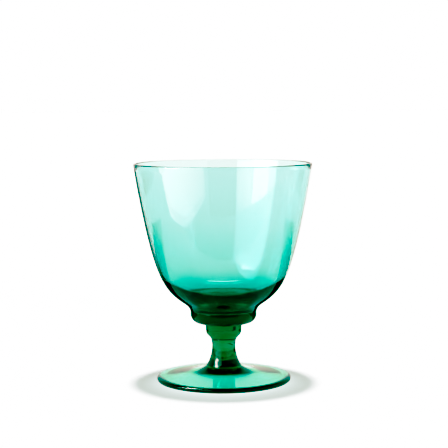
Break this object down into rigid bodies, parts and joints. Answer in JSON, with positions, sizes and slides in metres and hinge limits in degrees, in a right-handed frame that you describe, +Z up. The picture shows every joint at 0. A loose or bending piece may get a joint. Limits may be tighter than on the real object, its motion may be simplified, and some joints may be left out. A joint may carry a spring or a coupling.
{
  "type": "wine glass",
  "caption": "Stemmed goblet in clear green glass: a deep open bowl for a drink, joined through stacked collars to a short waisted stem on a round foot.",
  "frame": {"origin": "on the table plane, at the centre of the foot's resting ring", "axes": "+Z up along the axis of revolution, from the foot to the rim; +X and +Y are any two level directions, because the glass is round"},
  "size_m": [0.0978, 0.0978, 0.12],
  "materials": {
    "green_glass": "clear, fire-polished, coloured through the mass in emerald green"
  },
  "bodies": {
    "root": {"bowl": "green_glass", "wide_collar": "green_glass", "narrow_collar": "green_glass", "stem": "green_glass", "foot": "green_glass"}
  },
  "joints": []
}
